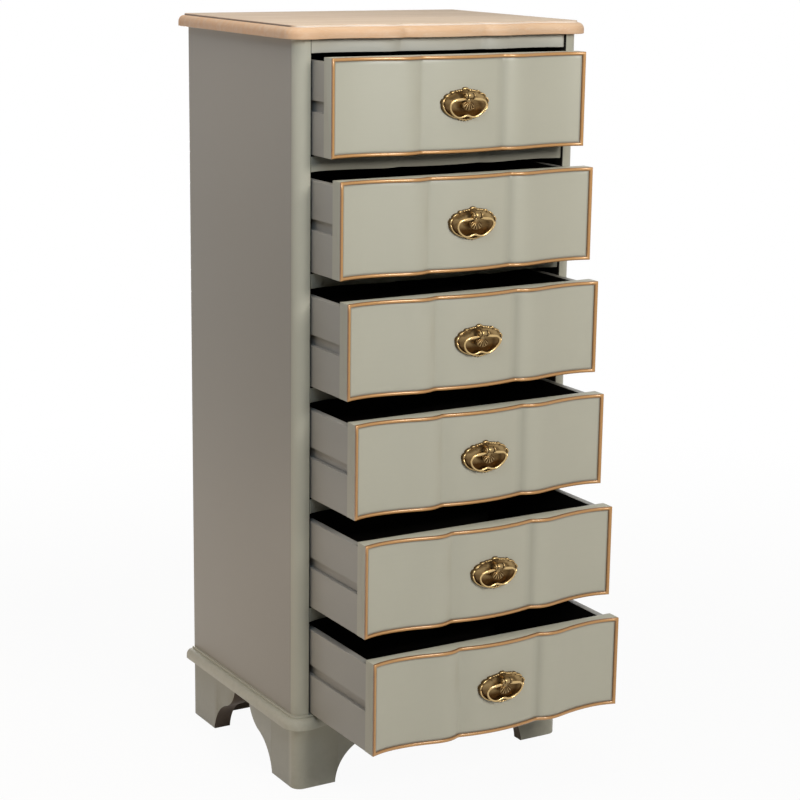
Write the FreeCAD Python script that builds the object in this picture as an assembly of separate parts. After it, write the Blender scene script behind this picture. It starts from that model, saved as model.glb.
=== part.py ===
from FreeCAD import Matrix, Vector
import Part
import math
import os

os.makedirs("parts", exist_ok=True)

# Tall narrow chest of six drawers, millimetres, +Z up, front towards -Y.
# The origin is on the floor under the middle of the carcase's plan.

# Carcase
carcase_width = 500.0
carcase_depth = 372.0
foot_height = 104.0
base_thickness = 20.0
carcase_height = 1047.0
top_thickness = 20.0
panel_thickness = 16.0
back_thickness = 5.0
stile_width = 25.5
stile_depth = 16.5
stile_meets_panel = math.radians(7.0)
foot_corner_radius = 16.0

# Edge moulding of the top and the base: a quarter round under a small step
round_size = 10.0
round_steps = 4
step_height = 3.0
step_inset = 0.8
arris = 1.0
moulding_corner = 30.0
top_overhang = 14.0
top_back_overhang = 8.0
base_overhang = 15.0
base_back_overhang = 0.0

# Serpentine front, as distances out from the plane through its two ends:
# a centre bow between two creases, then a swell and a hollow on each side
serpentine_half = 223.0
bow_out = 5.8
crease_x = 72.0
crease_out = -3.3
side_swell = ((97.0, 4.0), (128.0, -1.5), (163.0, -7.0), (serpentine_half, 0.0))

# Front rails, set back from the stiles, the dividers hung just under each drawer
rail_setback = 3.0
rail_depth = 60.0
divider_height = 23.0
divider_gap = 2.6
top_rail_height = 21.0

# Bracket feet: length at the floor, and how far the ogee reaches beyond it
foot_thickness = 22.0
rear_foot_thickness = 30.0
front_foot_side = (80.0, 84.0)
front_foot_front = (72.0, 58.0)
rear_foot_side = (78.0, 80.0)
rear_foot_back = (95.0, 40.0)
ogee_cove = (0.14, 29.0)
ogee_knee = (0.60, 57.0)
ogee_shoulder = (0.85, 72.0)

# Drawers, from the top one down, with how far each stands open
drawer_width = 446.0
drawer_height = 145.0
drawer_pitch = 175.2
drawer_clearance = 2.0
drawer_setback = 0.5
drawer_open = (59.0, 87.0, 111.5, 137.0, 170.0, 198.0)
front_thickness = 24.0
side_thickness = 12.0
side_height = 138.0
side_length = 325.0
drawer_back_height = 115.0
bottom_thickness = 5.0
bottom_raise = 12.0
bottom_tongue = 5.0

# Wooden runners in grooves outside the drawer sides
groove_height = 17.0
groove_depth = 6.0
groove_drop = 57.5
runner_play = 0.5
runner_front_gap = 12.0
runner_length = 330.0
runner_screw_ends = 45.0
screw_shank_radius = 1.75
screw_head_radius = 3.5
screw_head_depth = 2.5
screw_length = 22.0

# Gilt cock bead round each drawer front
bead_width = 5.5
bead_proud = 2.5

# Drop handle: oval dished plate with a knuckle, and a bail hung in the knuckle
plate_half_width = 41.0
plate_half_height = 25.0
rim_out = 4.5
rim_rounding = 2.0
bowl_half_width = 35.5
bowl_half_height = 19.5
bowl_depth = 3.4
crest_radius = 5.0
crest_height = 21.0
pivot_height = 13.6
pivot_out = 14.0
knuckle_radius = 4.2
knuckle_half_width = 5.0
post_radius = 3.6
pin_radius = 1.5
pin_play = 0.05
shell_size = (9.5, 4.0, 7.0)
shell_out = 9.5
neck_size = (6.0, 6.0, 9.0)
bail_wire_radius = 1.7
bail_lean = 13.0
scroll_radius = 4.6
scroll_thickness = 3.4
scroll_gap = 0.3
pin_reach = 1.0
bail_points = ((7.0, -4.2), (29.0, -7.2), (32.5, -17.0), (22.5, -30.0), (13.5, -33.2))
bail_bends = (5.0, 8.0, 8.0, 6.0)
bail_dip = -29.4
bail_dip_bend = 10.0
bolt_radius = 2.0
bolt_hole_play = 0.2
bolt_reach = 8.5
bolt_head_radius = 4.0
bolt_head_thickness = 2.5

# How close two places count as the same
same_place = 1e-6
same_edge = 1e-3

# Places that follow from the dimensions
half_width = carcase_width / 2
front_y = -carcase_depth / 2
back_y = carcase_depth / 2
carcase_z = foot_height + base_thickness
top_z = carcase_z + carcase_height
stile_inner = half_width - stile_width
panel_inner = half_width - panel_thickness
drawer_half = drawer_width / 2
drawer_inner = drawer_half - side_thickness
drawer_face_y = front_y + drawer_setback
drawer_box_y = drawer_face_y + front_thickness
drawer_rear_y = drawer_box_y + side_length
plate_y = drawer_face_y - bow_out
drawer_count = len(drawer_open)
drawer_bottoms = [carcase_z + drawer_clearance + drawer_pitch * (drawer_count - 1 - i)
                  for i in range(drawer_count)]


def box(x0, x1, y0, y1, z0, z1):
    return Part.makeBox(x1 - x0, y1 - y0, z1 - z0, Vector(x0, y0, z0))


def mirrored(shape):
    return shape.mirror(Vector(0, 0, 0), Vector(1, 0, 0))


def moved(shape, x, y, z):
    copy = shape.copy()
    copy.translate(Vector(x, y, z))
    return copy


def fused(first, *others):
    return first.fuse(list(others)).removeSplitter()


def write(name, *solids):
    shape = solids[0] if len(solids) == 1 else Part.makeCompound(list(solids))
    bad = [s for s in solids if not s.isValid() or s.Volume <= 0]
    shape.exportStep("parts/" + name + ".step")
    print(name, len(shape.Solids), "solids", round(shape.Volume / 1000, 2), "cm3", "INVALID" if bad else "")


def serpentine(y, z):
    """Left hollow and swell, centre bow, right swell and hollow, as three edges."""
    def at(x, out):
        return Vector(x, y - out, z)
    run = ((crease_x, crease_out),) + side_swell
    right = Part.BSplineCurve()
    right.interpolate([at(x, out) for x, out in run])
    left = Part.BSplineCurve()
    left.interpolate([at(-x, out) for x, out in reversed(run)])
    bow = Part.Arc(at(-crease_x, crease_out), at(0, bow_out), at(crease_x, crease_out))
    return [left.toShape(), bow.toShape(), right.toShape()]


def polyline(points):
    pairs = zip(points, points[1:])
    return [Part.makeLine(a, b) for a, b in pairs if a.distanceToPoint(b) > same_place]


def serpentine_slab(face_y, rear_y, half, z, height):
    """Board with a serpentine front edge and square sides."""
    outline = [Vector(serpentine_half, face_y, z), Vector(half, face_y, z), Vector(half, rear_y, z),
               Vector(-half, rear_y, z), Vector(-half, face_y, z), Vector(-serpentine_half, face_y, z)]
    wire = Part.Wire(serpentine(face_y, z) + polyline(outline))
    return Part.Face(wire).extrude(Vector(0, 0, height))


def rounded_plan(half, face_y, rear_y, radius, z):
    """Plan outline with a serpentine front and rounded front corners."""
    bend = radius * math.sqrt(0.5)
    right = half - radius
    side_y = face_y + radius
    corner = Part.Arc(Vector(right, face_y, z), Vector(right + bend, side_y - bend, z), Vector(half, side_y, z))
    other = Part.Arc(Vector(-half, side_y, z), Vector(-right - bend, side_y - bend, z), Vector(-right, face_y, z))
    edges = serpentine(face_y, z)
    edges += polyline([Vector(serpentine_half, face_y, z), Vector(right, face_y, z)])
    edges.append(corner.toShape())
    edges += polyline([Vector(half, side_y, z), Vector(half, rear_y, z), Vector(-half, rear_y, z),
                       Vector(-half, side_y, z)])
    edges.append(other.toShape())
    edges += polyline([Vector(-right, face_y, z), Vector(-serpentine_half, face_y, z)])
    return Part.Wire(edges)


def moulded_board(z, thickness, overhang, back_overhang):
    """Board whose front and side edges are a quarter round under a small step."""
    round_z = thickness - step_height - round_size
    levels = [(0.0, arris), (arris, 0.0), (round_z, 0.0)]
    for k in range(1, round_steps + 1):
        turn = math.radians(90.0 * k / round_steps)
        levels.append((round_z + round_size * math.sin(turn), round_size * (1 - math.cos(turn))))
    levels.append((thickness, round_size + step_inset))
    wires = [rounded_plan(half_width + overhang - inset, front_y - overhang + inset, back_y + back_overhang,
                          moulding_corner - inset, z + height) for height, inset in levels]
    return Part.makeLoft(wires, True, True)


def bracket(length, reach):
    """Elevation of a bracket foot: a cove from the floor, then a shoulder up to the base."""
    def at(share_height):
        share, height = share_height
        return Vector(length + share * reach, 0, height)
    floor_end = at((0.0, 0.0))
    knee = at(ogee_knee)
    top_end = at((1.0, foot_height))
    edges = [Part.Arc(floor_end, at(ogee_cove), knee).toShape(),
             Part.Arc(knee, at(ogee_shoulder), top_end).toShape()]
    edges += polyline([top_end, Vector(0, 0, foot_height), Vector(0, 0, 0), floor_end])
    return Part.Face(Part.Wire(edges))


def turned(shape, degrees):
    """Turned about the upright axis through the origin."""
    copy = shape.copy()
    copy.rotate(Vector(0, 0, 0), Vector(0, 0, 1), degrees)
    return copy


def front_foot():
    """Left front foot: two brackets meeting in a rounded corner."""
    side = turned(bracket(*front_foot_side), 90).extrude(Vector(foot_thickness, 0, 0))
    side = moved(side, -half_width, front_y, 0)
    front = bracket(*front_foot_front).extrude(Vector(0, foot_thickness, 0))
    front = moved(front, -half_width, front_y, 0)
    limits = box(-half_width, 0, front_y, back_y, 0, foot_height)
    corner = [e for e in limits.Edges
              if all(abs(v.X + half_width) < same_place and abs(v.Y - front_y) < same_place for v in e.Vertexes)]
    return fused(side, front).common(limits.makeFillet(foot_corner_radius, corner))


def rear_foot():
    """Left rear foot: a side bracket and a plainer one along the back."""
    side = turned(bracket(*rear_foot_side), -90).extrude(Vector(rear_foot_thickness, 0, 0))
    side = moved(side, -half_width, back_y, 0)
    back = bracket(*rear_foot_back).extrude(Vector(0, foot_thickness, 0))
    back = moved(back, -half_width, back_y - foot_thickness, 0)
    return fused(side, back)


def stile():
    """Left front post whose round corner starts at the panel, at a slight angle to it."""
    radius = stile_depth / (1 - math.sin(stile_meets_panel))
    centre_x = -half_width + radius * math.cos(stile_meets_panel)

    def at(turn):
        return Vector(centre_x - radius * math.cos(turn), front_y + radius - radius * math.sin(turn), carcase_z)
    facing_front = math.pi / 2
    seam, face = at(stile_meets_panel), at(facing_front)
    corner = Part.Arc(seam, at((stile_meets_panel + facing_front) / 2), face)
    inner = polyline([face, Vector(-stile_inner, front_y, carcase_z),
                      Vector(-stile_inner, front_y + stile_depth, carcase_z), seam])
    return Part.Face(Part.Wire([corner.toShape()] + inner)).extrude(Vector(0, 0, carcase_height))


def runner_middle(bottom_z):
    return bottom_z + side_height - groove_drop - groove_height / 2


def runner(bottom_z):
    """Left runner strip, screwed to the side panel and standing into the drawer's groove."""
    half = groove_height / 2 - runner_play
    middle = runner_middle(bottom_z)
    inner = drawer_half - groove_depth + runner_play
    start = front_y + stile_depth + runner_front_gap
    return box(-panel_inner, -inner, start, start + runner_length, middle - half, middle + half)


def runner_screws(bottom_z):
    """Two countersunk screws from the left runner into the side panel."""
    inner = drawer_half - groove_depth + runner_play
    start = front_y + stile_depth + runner_front_gap
    screws = []
    for y in (start + runner_screw_ends, start + runner_length - runner_screw_ends):
        place = Vector(-inner, y, runner_middle(bottom_z))
        head = Part.makeCone(screw_head_radius, screw_shank_radius, screw_head_depth, place, Vector(-1, 0, 0))
        shank = Part.makeCylinder(screw_shank_radius, screw_length, place, Vector(-1, 0, 0))
        screws.append(fused(head, shank))
    return screws


def ellipsoid(semi_axes, centre):
    ball = Part.makeSphere(1.0)
    stretch = Matrix()
    stretch.scale(Vector(*semi_axes))
    return moved(ball.transformGeometry(stretch), *centre)


def drawer_front(bottom_z):
    front = serpentine_slab(drawer_face_y, drawer_box_y, drawer_half, bottom_z, drawer_height)
    tongue = drawer_inner + bottom_tongue
    groove_z = bottom_z + bottom_raise
    groove = box(-tongue, tongue, drawer_box_y - bottom_tongue, drawer_box_y, groove_z, groove_z + bottom_thickness)
    bolt_z = bottom_z + drawer_height / 2 + pivot_height
    hole = Part.makeCylinder(bolt_radius + bolt_hole_play, 2 * front_thickness,
                             Vector(0, drawer_box_y, bolt_z), Vector(0, -1, 0))
    return front.cut(groove).cut(hole)


def drawer_bead(bottom_z):
    """Four mitred strips standing proud of the front's edges."""
    face = serpentine_slab(drawer_face_y, drawer_box_y, drawer_half, bottom_z, drawer_height)
    skin = moved(face, 0, -bead_proud, 0).cut(face)
    outer = drawer_half
    inner = drawer_half - bead_width
    low, high = bottom_z, bottom_z + drawer_height
    corners = ((-outer, low), (outer, low), (outer, high), (-outer, high))
    mitres = ((-inner, low + bead_width), (inner, low + bead_width),
              (inner, high - bead_width), (-inner, high - bead_width))
    strips = []
    for i in range(4):
        j = (i + 1) % 4
        ring = [Vector(x, drawer_box_y, z) for x, z in (corners[i], corners[j], mitres[j], mitres[i], corners[i])]
        prism = Part.Face(Part.makePolygon(ring)).extrude(Vector(0, -2 * front_thickness, 0))
        strips += skin.common(prism).Solids
    return strips


def drawer_side(bottom_z):
    """Left side, grooved outside for the runner and inside for the bottom."""
    side = box(-drawer_half, -drawer_inner, drawer_box_y, drawer_rear_y, bottom_z, bottom_z + side_height)
    middle = runner_middle(bottom_z)
    runner_groove = box(-drawer_half, -drawer_half + groove_depth, drawer_box_y, drawer_rear_y,
                        middle - groove_height / 2, middle + groove_height / 2)
    groove_z = bottom_z + bottom_raise
    bottom_groove = box(-drawer_inner - bottom_tongue, -drawer_inner, drawer_box_y, drawer_rear_y,
                        groove_z, groove_z + bottom_thickness)
    return side.cut(runner_groove).cut(bottom_groove)


def drawer_back(bottom_z):
    low = bottom_z + bottom_raise + bottom_thickness
    return box(-drawer_inner, drawer_inner, drawer_rear_y - side_thickness, drawer_rear_y,
               low, low + drawer_back_height)


def drawer_bottom(bottom_z):
    tongue = drawer_inner + bottom_tongue
    low = bottom_z + bottom_raise
    return box(-tongue, tongue, drawer_box_y - bottom_tongue, drawer_rear_y, low, low + bottom_thickness)


def handle_plate():
    """Oval dish with its knuckle and shell in one casting, back fitted to the bowed front; centred on z = 0."""
    oval = Part.Ellipse(Vector(0, 0, 0), plate_half_width, plate_half_height).toShape()
    oval = Part.Face(Part.Wire([oval]))
    oval.rotate(Vector(0, 0, 0), Vector(1, 0, 0), 90)
    dish = moved(oval, 0, drawer_face_y, 0).extrude(Vector(0, -bow_out - rim_out, 0))
    for height in (crest_height, -crest_height):
        lobe = Part.makeCylinder(crest_radius, bow_out + rim_out, Vector(0, drawer_face_y, height), Vector(0, -1, 0))
        dish = fused(dish, lobe)
    rim_y = plate_y - rim_out
    rim_edges = [e for e in dish.Edges if abs(e.BoundBox.YMax - rim_y) < same_edge and e.BoundBox.YLength < same_edge]
    dish = dish.makeFillet(rim_rounding, rim_edges)
    dish = dish.cut(ellipsoid((bowl_half_width, bowl_depth, bowl_half_height), (0, rim_y, 0)))
    post = Part.makeCylinder(post_radius, pivot_out, Vector(0, plate_y, pivot_height), Vector(0, -1, 0))
    knuckle = Part.makeCylinder(knuckle_radius, 2 * knuckle_half_width,
                                Vector(-knuckle_half_width, plate_y - pivot_out, pivot_height), Vector(1, 0, 0))
    shell = ellipsoid(shell_size, (0, plate_y - shell_out, 0))
    neck_x, neck_y, neck_z = neck_size
    neck = box(-neck_x / 2, neck_x / 2, plate_y - shell_out - neck_y / 2, plate_y - shell_out + neck_y / 2,
               pivot_height - neck_z, pivot_height)
    plate = fused(dish, post, knuckle, shell, neck)
    pin_hole = Part.makeCylinder(pin_radius + pin_play, 4 * knuckle_half_width,
                                 Vector(-2 * knuckle_half_width, plate_y - pivot_out, pivot_height), Vector(1, 0, 0))
    bolt_hole = Part.makeCylinder(bolt_radius + pin_play, bow_out + bolt_reach,
                                  Vector(0, drawer_face_y, pivot_height), Vector(0, -1, 0))
    front = serpentine_slab(drawer_face_y, drawer_box_y, drawer_half, -drawer_height / 2, drawer_height)
    return plate.cut(front).cut(pin_hole).cut(bolt_hole)


def rounded_path(points, bends):
    """Straight runs joined by tangent arcs."""
    edges = []
    start = points[0]
    for before, corner, after, radius in zip(points, points[1:], points[2:], bends):
        into = (corner - before).normalize()
        out = (after - corner).normalize()
        half_turn = into.getAngle(out) / 2
        leg = radius * math.tan(half_turn)
        first = corner - into * leg
        last = corner + out * leg
        inward = (out - into).normalize()
        middle = corner + inward * (radius / math.cos(half_turn) - radius)
        edges += polyline([start, first])
        edges.append(Part.Arc(first, middle, last).toShape())
        start = last
    edges += polyline([start, points[-1]])
    return Part.Wire(edges)


def handle_bail():
    """Looped bail with scroll ends, whose pins run in the knuckle; centred on z = 0."""
    right = [Vector(x, 0, z) for x, z in bail_points]
    left = [Vector(-p.x, 0, p.z) for p in reversed(right)]
    path = rounded_path(right + [Vector(0, 0, bail_dip)] + left,
                        bail_bends + (bail_dip_bend,) + tuple(reversed(bail_bends)))
    start = path.Edges[0]
    profile = Part.Wire([Part.makeCircle(bail_wire_radius, right[0], start.tangentAt(start.FirstParameter))])
    loop = path.makePipeShell([profile], True, True)
    loop.rotate(Vector(0, 0, 0), Vector(1, 0, 0), bail_lean)
    scroll_x = knuckle_half_width + scroll_gap
    scroll = Part.makeCylinder(scroll_radius, scroll_thickness, Vector(scroll_x, 0, 0), Vector(1, 0, 0))
    pin = Part.makeCylinder(pin_radius, scroll_x - pin_reach + scroll_thickness / 2,
                            Vector(pin_reach, 0, 0), Vector(1, 0, 0))
    bail = fused(loop, scroll, pin, mirrored(scroll), mirrored(pin))
    return moved(bail, 0, plate_y - pivot_out, pivot_height)


def handle_bolt():
    """Machine screw from inside the drawer, through the front, into the handle's post; centred on z = 0."""
    head = Part.makeCylinder(bolt_head_radius, bolt_head_thickness, Vector(0, drawer_box_y, pivot_height),
                             Vector(0, 1, 0))
    shank = Part.makeCylinder(bolt_radius, drawer_box_y - plate_y + bolt_reach - pin_play,
                              Vector(0, drawer_box_y, pivot_height), Vector(0, -1, 0))
    return fused(head, shank)


# Carcase
screws = [s for bottom in drawer_bottoms for s in runner_screws(bottom)]
left_runners = [runner(bottom) for bottom in drawer_bottoms]
left_runners = [strip.cut(screws) for strip in left_runners]
left_panel = box(-half_width, -panel_inner, front_y + stile_depth, back_y, carcase_z, top_z).cut(screws)
write("top_board", moulded_board(top_z, top_thickness, top_overhang, top_back_overhang))
write("left_side_panel", left_panel)
write("right_side_panel", mirrored(left_panel))
write("front_stiles", stile(), mirrored(stile()))
write("back_panel", box(-panel_inner, panel_inner, back_y - back_thickness, back_y, carcase_z, top_z))
rail_y = front_y + rail_setback
write("top_rail", serpentine_slab(rail_y, rail_y + rail_depth, stile_inner, top_z - top_rail_height, top_rail_height))
write("divider_rails", *[serpentine_slab(rail_y, rail_y + rail_depth, stile_inner,
                                         bottom - divider_gap - divider_height, divider_height)
                         for bottom in drawer_bottoms[:-1]])
write("drawer_runners", *left_runners, *[mirrored(strip) for strip in left_runners])
write("runner_screws", *screws, *[mirrored(s) for s in screws])
write("base_board", moulded_board(foot_height, base_thickness, base_overhang, base_back_overhang))
write("front_feet", front_foot(), mirrored(front_foot()))
write("rear_feet", rear_foot(), mirrored(rear_foot()))

# Drawers
plate = handle_plate()
bail = handle_bail()
bolt = handle_bolt()
for number, (bottom, opening) in enumerate(zip(drawer_bottoms, drawer_open), 1):
    name = "drawer_%d_" % number
    middle = bottom + drawer_height / 2
    left_side = drawer_side(bottom)
    pieces = {
        "front": [drawer_front(bottom)],
        "gilt_bead": drawer_bead(bottom),
        "sides": [left_side, mirrored(left_side)],
        "back": [drawer_back(bottom)],
        "bottom": [drawer_bottom(bottom)],
        "handle_plate": [moved(plate, 0, 0, middle)],
        "handle_bail": [moved(bail, 0, 0, middle)],
        "handle_bolt": [moved(bolt, 0, 0, middle)],
    }
    for piece, solids in pieces.items():
        write(name + piece, *[moved(solid, 0, -opening, 0) for solid in solids])
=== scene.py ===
import bmesh
import bpy
import numpy as np
from mathutils import Matrix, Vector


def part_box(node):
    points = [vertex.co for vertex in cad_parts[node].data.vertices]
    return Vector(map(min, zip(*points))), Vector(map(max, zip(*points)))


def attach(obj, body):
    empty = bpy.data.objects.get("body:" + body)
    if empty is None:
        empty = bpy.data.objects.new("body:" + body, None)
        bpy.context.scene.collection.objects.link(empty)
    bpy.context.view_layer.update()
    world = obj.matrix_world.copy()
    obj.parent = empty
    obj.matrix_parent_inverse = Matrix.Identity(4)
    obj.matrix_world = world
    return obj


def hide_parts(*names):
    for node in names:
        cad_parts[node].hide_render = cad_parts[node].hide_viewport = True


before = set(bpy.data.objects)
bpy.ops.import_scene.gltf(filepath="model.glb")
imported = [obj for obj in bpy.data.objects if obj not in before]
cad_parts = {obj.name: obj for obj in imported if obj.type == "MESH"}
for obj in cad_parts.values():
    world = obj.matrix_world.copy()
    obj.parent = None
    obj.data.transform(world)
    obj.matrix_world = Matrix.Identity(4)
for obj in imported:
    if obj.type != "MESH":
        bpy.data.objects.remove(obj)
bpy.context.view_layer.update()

mm = 0.001  # shapes are worked out in millimetres, meshes are in metres


# Curves

def splineThrough(knots, values, at):
    # clamped cubic spline: end slopes are those of the cubic through the four end knots,
    # inner slopes are the ones that keep the curvature continuous
    knots, values = np.asarray(knots, float), np.asarray(values, float)
    gaps = np.diff(knots)
    rises = np.diff(values) / gaps
    count = len(knots)
    inner = np.arange(1, count - 1)
    system, right = np.zeros((count, count)), np.zeros(count)
    system[0, 0] = system[-1, -1] = 1
    right[0] = np.polyfit(knots[:4] - knots[0], values[:4], 3)[2]
    right[-1] = np.polyfit(knots[-4:] - knots[-1], values[-4:], 3)[2]
    system[inner, inner - 1] = 1 / gaps[:-1]
    system[inner, inner] = 2 / gaps[:-1] + 2 / gaps[1:]
    system[inner, inner + 1] = 1 / gaps[1:]
    right[inner] = 3 * (rises[:-1] / gaps[:-1] + rises[1:] / gaps[1:])
    slopes = np.linalg.solve(system, right)
    k = np.clip(np.searchsorted(knots, at) - 1, 0, count - 2)
    t = (at - knots[k]) / gaps[k]
    return ((1 + 2 * t) * (1 - t) ** 2 * values[k] + t * (1 - t) ** 2 * gaps[k] * slopes[k]
            + t * t * (3 - 2 * t) * values[k + 1] + t * t * (t - 1) * gaps[k] * slopes[k + 1])


def arcThrough(first, middle, last, count):
    # points of the circle through three points, at even angles from the first to the last
    (ax, ay), (bx, by), (cx, cy) = first, middle, last
    double = 2 * (ax * (by - cy) + bx * (cy - ay) + cx * (ay - by))
    squares = np.array([ax * ax + ay * ay, bx * bx + by * by, cx * cx + cy * cy])
    centre = np.array([squares @ [by - cy, cy - ay, ay - by], squares @ [cx - bx, ax - cx, bx - ax]]) / double
    start, through, end = (np.arctan2(*(np.array(p) - centre)[::-1]) for p in (first, middle, last))
    turn = (end - start) % (2 * np.pi)
    if (through - start) % (2 * np.pi) > turn:
        turn -= 2 * np.pi
    angle = start + turn * np.linspace(0, 1, count)
    radius = np.hypot(ax - centre[0], ay - centre[1])
    return centre + radius * np.stack([np.cos(angle), np.sin(angle)], 1)


def roundedLoop(corners, radii, steps=6):
    # closed outline whose corners are arcs that touch the two sides, from the middle of each corner's angle
    corners, radii = np.asarray(corners, float), np.asarray(radii, float)[:, None]
    back = np.roll(corners, 1, 0) - corners
    on = np.roll(corners, -1, 0) - corners
    back /= np.linalg.norm(back, axis=1, keepdims=True)
    on /= np.linalg.norm(on, axis=1, keepdims=True)
    half = np.arccos(np.sum(back * on, 1, keepdims=True)) / 2
    middle = back + on
    middle /= np.linalg.norm(middle, axis=1, keepdims=True)
    centre = corners + middle * radii / np.sin(half)
    start = corners + back * radii / np.tan(half) - centre
    end = corners + on * radii / np.tan(half) - centre
    sweep = (np.pi - 2 * half)[:, :, None]
    t = np.linspace(0, 1, steps + 1)[None, :, None]
    arc = (np.sin((1 - t) * sweep) * start[:, None] + np.sin(t * sweep) * end[:, None]) / np.sin(sweep)
    return (centre[:, None] + arc).reshape(-1, 2)


serpentine = {
    "half": 223.0, "bow": 5.8, "crease": 72.0, "creaseOut": -3.3,
    "swell": ((72.0, -3.3), (97.0, 4.0), (128.0, -1.5), (163.0, -7.0), (223.0, 0.0)),
    "soft": 6.0, "softSteps": 9, "softWeight": 1.1,  # paint softens the creases this far to each side
    "samples": ((0.0, 61.0, 18), (63.0, 81.0, 13), (84.0, 215.0, 40))}  # runs of x: start, end and count


def serpentineOut(x):
    # how far the front stands out at x: a round bow in the middle, a spline swell on each side,
    # averaged over a short stretch so that the creases are soft
    s = serpentine
    share = np.linspace(-1, 1, s["softSteps"])
    away = np.abs(np.asarray(x, float)[..., None] + share * s["soft"])
    rise = s["bow"] - s["creaseOut"]
    radius = (s["crease"] ** 2 + rise ** 2) / (2 * rise)
    bow = s["bow"] - radius + np.sqrt(radius ** 2 - np.minimum(away, s["crease"]) ** 2)
    swellX, swellOut = np.array(s["swell"]).T
    swell = splineThrough(swellX, swellOut, np.clip(away, s["crease"], s["half"]))
    sharp = np.where(away < s["crease"], bow, swell)
    return np.average(sharp, axis=-1, weights=s["softWeight"] - np.abs(share))


serpentineX = np.concatenate([np.linspace(*run) for run in serpentine["samples"]] + [[serpentine["half"]]])
bothX = np.concatenate([-serpentineX[:0:-1], serpentineX])


# Meshes

def shell(points, loopU=False, **marks):
    # a grid of points made a closed skin: its rows are rings, joined by quads between neighbours; with loopU the
    # last ring joins the first, otherwise one flat face closes each end
    rows, columns = points.shape[:2]
    ids = np.arange(rows * columns).reshape(rows, columns)
    wide = np.vstack([ids, ids[:1]]) if loopU else ids
    wide = np.hstack([wide, wide[:, :1]])
    quads = np.stack([wide[:-1, :-1], wide[1:, :-1], wide[1:, 1:], wide[:-1, 1:]], -1).reshape(-1, 4)
    ends = [] if loopU else [ids[0][::-1], ids[-1]]
    spread = {name: np.broadcast_to(value, (rows, columns)).ravel() for name, value in marks.items()}
    return points.reshape(-1, 3), quads, ends, spread


def extruded(loop, axis, start, end, **marks):
    # a flat outline carried straight along one axis
    ends = np.array([start, end], float)
    points = np.insert(np.repeat(loop[None], 2, 0), axis, ends[:, None], axis=2)
    return shell(points, **marks)


def ringAngles(count):
    # even angles once round
    return np.linspace(0, 2 * np.pi, count, endpoint=False)


def tube(centres, across, along, halfAcross, halfAlong, sides=14, **marks):
    # an oval section carried along a path: across and along are its two axes at each point
    angle = ringAngles(sides)
    wide = np.asarray(halfAcross)[:, None] * np.cos(angle)
    deep = np.asarray(halfAlong)[:, None] * np.sin(angle)
    points = (centres[:, None] + np.asarray(across)[:, None] * wide[:, :, None]
              + np.asarray(along)[:, None] * deep[:, :, None])
    return shell(points, **marks)


def turnedOnX(profile, y, z, sides=28, **marks):
    # a profile of (x, radius) turned about an axis along x
    x, radius = np.array(profile, float).T
    angle = ringAngles(sides)
    points = np.stack([np.repeat(x[:, None], sides, 1), y + radius[:, None] * np.cos(angle),
                       z + radius[:, None] * np.sin(angle)], -1)
    return shell(points, **marks)


def mirrored(part):
    # the same part on the other side of x = 0
    points, quads, ends, marks = part
    return points * [-1, 1, 1], quads, ends, marks


def shifted(part, by):
    # the same part moved
    points, quads, ends, marks = part
    return points + np.asarray(by, float), quads, ends, marks


def addPiece(name, parts, body, replaced, materials, crisp=38, inside=None):
    # joins the parts into one mesh, turns the faces outwards and sharpens edges of more than crisp degrees;
    # inside gives each face the number of its material, by the face's centre and normal
    counts = np.cumsum([0] + [len(p[0]) for p in parts])
    points = np.concatenate([p[0] for p in parts]) * mm
    quads = np.concatenate([p[1] + start for p, start in zip(parts, counts)])
    ends = [(end + start).tolist() for p, start in zip(parts, counts) for end in p[2]]
    mesh = bpy.data.meshes.new(name)
    mesh.from_pydata(points.tolist(), [], quads.tolist() + ends)
    for mark in sorted({m for p in parts for m in p[3]}):
        values = np.concatenate([p[3].get(mark, np.zeros(len(p[0]))) for p in parts])
        mesh.attributes.new(mark, "FLOAT", "POINT").data.foreach_set("value", values.astype(np.float32))
    turned = bmesh.new()
    turned.from_mesh(mesh)
    bmesh.ops.recalc_face_normals(turned, faces=turned.faces)
    turned.to_mesh(mesh)
    turned.free()
    mesh.polygons.foreach_set("use_smooth", np.ones(len(mesh.polygons), bool))
    mesh.set_sharp_from_angle(angle=np.radians(crisp))
    for material in materials:
        mesh.materials.append(material)
    if inside is not None:
        normals, centres = np.zeros((2, len(mesh.polygons) * 3))
        mesh.polygons.foreach_get("normal", normals)
        mesh.polygons.foreach_get("center", centres)
        choice = inside(centres.reshape(-1, 3) / mm, normals.reshape(-1, 3))
        mesh.polygons.foreach_set("material_index", choice.astype(np.int32))
    mesh.update()
    piece = bpy.data.objects.new(name, mesh)
    bpy.context.scene.collection.objects.link(piece)
    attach(piece, body)
    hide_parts(*replaced)


# Materials

def rgb(red, green, blue):
    # an 8-bit screen colour as linear light
    c = np.array([red, green, blue]) / 255
    return (*np.where(c <= 0.04045, c / 12.92, ((c + 0.055) / 1.055) ** 2.4).tolist(), 1.0)


def put(tree, kind, inputs=None, **settings):
    # a new node with its settings; each input is another socket or a plain value
    made = tree.nodes.new("ShaderNode" + kind)
    for key, value in settings.items():
        setattr(made, key, value)
    for key, value in (inputs or {}).items():
        if isinstance(value, bpy.types.NodeSocket):
            tree.links.new(value, made.inputs[key])
        else:
            made.inputs[key].default_value = value
    return made


def sums(tree, operation, first, second=0.0, third=0.0, clamp=False):
    # result of a Math node
    return put(tree, "Math", {0: first, 1: second, 2: third}, operation=operation, use_clamp=clamp).outputs[0]


def blendOf(tree, factor, first, second):
    # mix of two colours
    return put(tree, "Mix", {0: factor, 6: first, 7: second}, data_type="RGBA").outputs[2]


def ranged(tree, value, low, high):
    # 0 at low, 1 at high
    return put(tree, "MapRange", {"Value": value, "From Min": low, "From Max": high}).outputs[0]


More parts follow.
